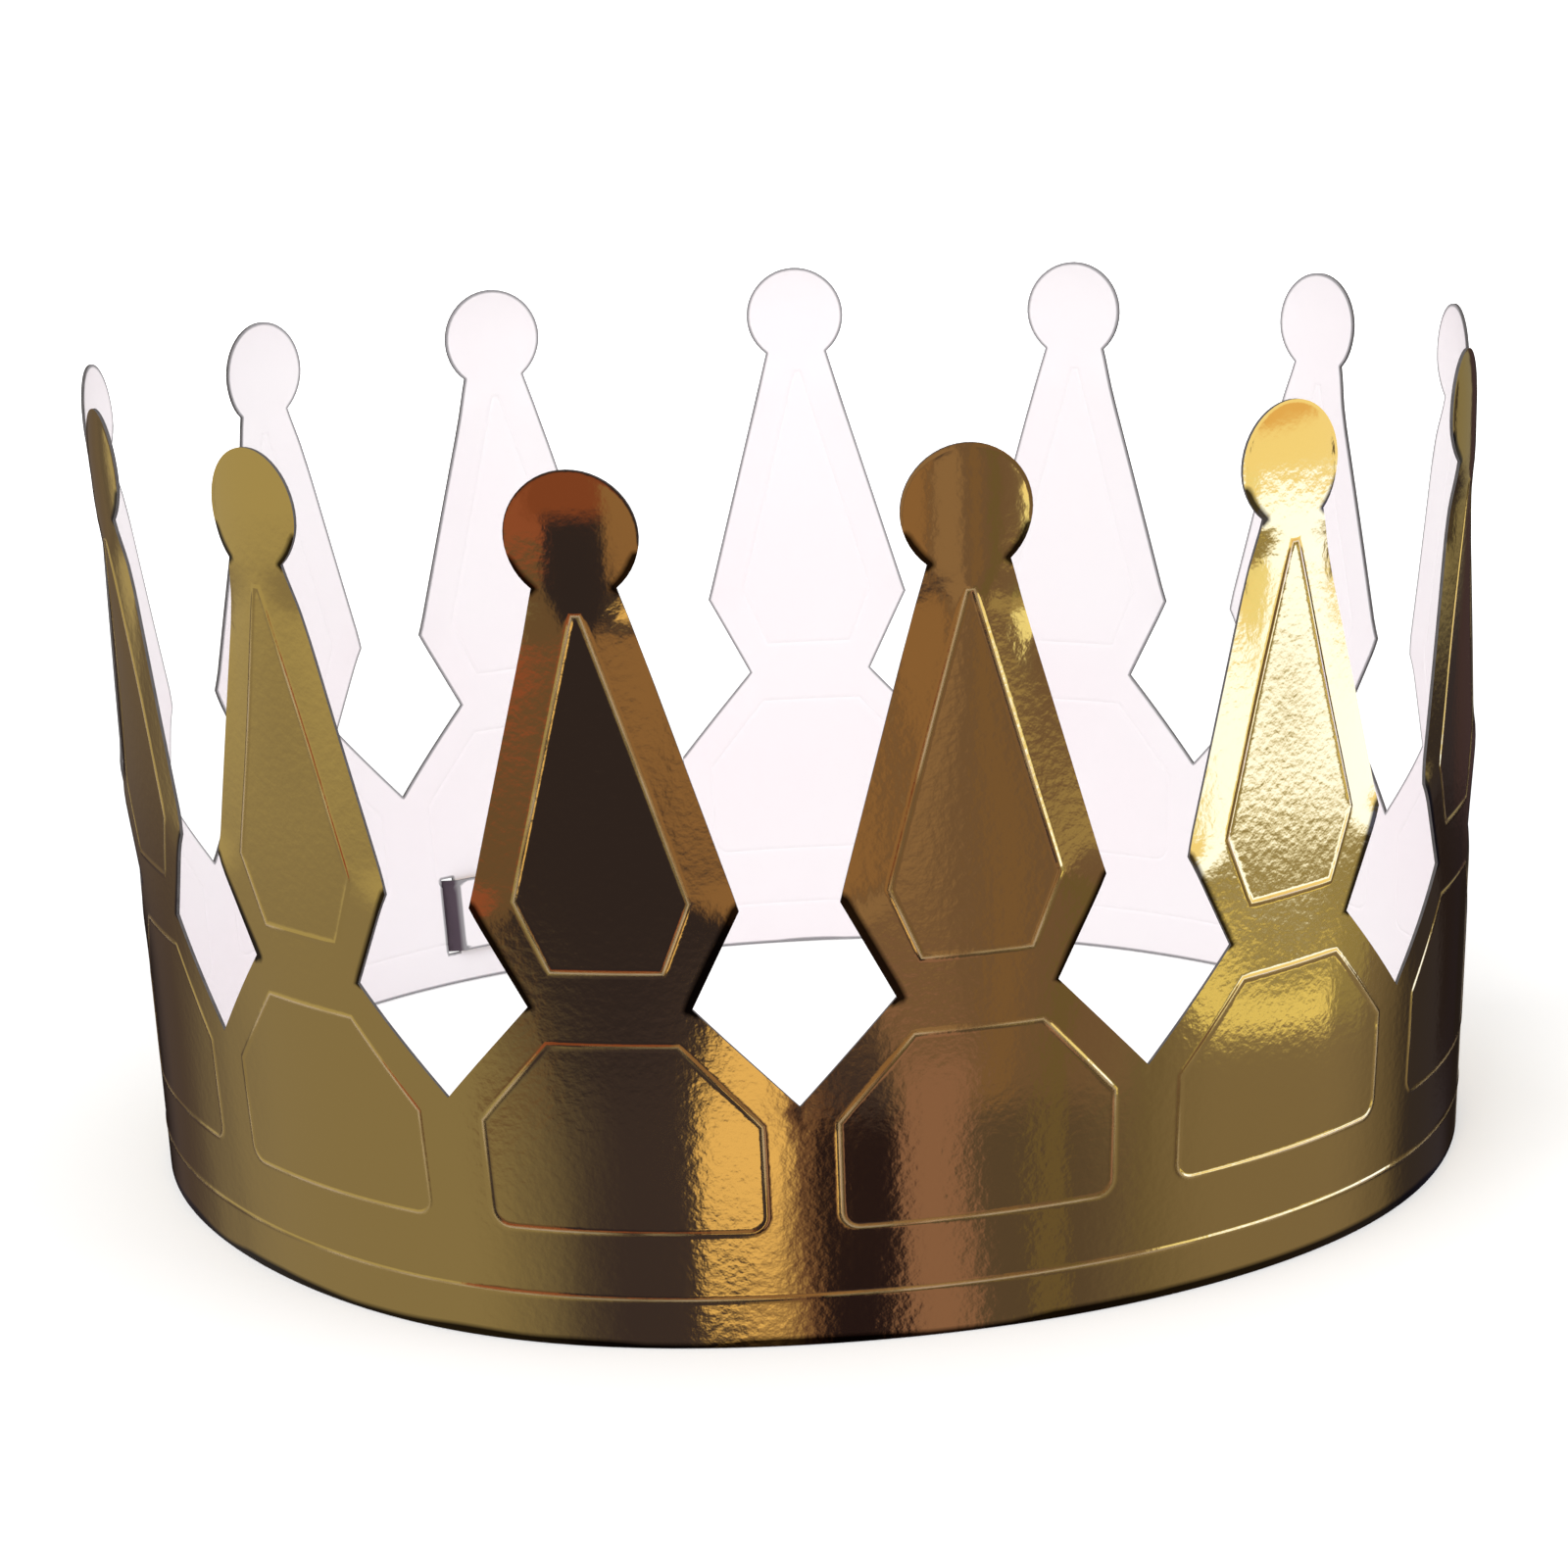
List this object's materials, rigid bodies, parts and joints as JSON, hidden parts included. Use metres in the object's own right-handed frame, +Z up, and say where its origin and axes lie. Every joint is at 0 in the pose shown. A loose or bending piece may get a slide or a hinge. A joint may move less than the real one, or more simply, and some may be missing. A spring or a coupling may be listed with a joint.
{
  "type": "paper crown",
  "caption": "Party crown of foil-faced card: one embossed strip with ball-tipped points, bent into a ring and closed by a tongue in a slit.",
  "frame": {"origin": "on the floor under the middle of the crown's plan", "axes": "+Z up; -Y to the crown's front, with the joint at the back; +X to the right in a front view"},
  "size_m": [0.209, 0.208, 0.1204],
  "materials": {
    "foil_card": "mirror-bright gold foil laminate outside, plain white card inside and on the cut edges"
  },
  "bodies": {
    "root": {"crown_strip": "foil_card"}
  },
  "joints": []
}
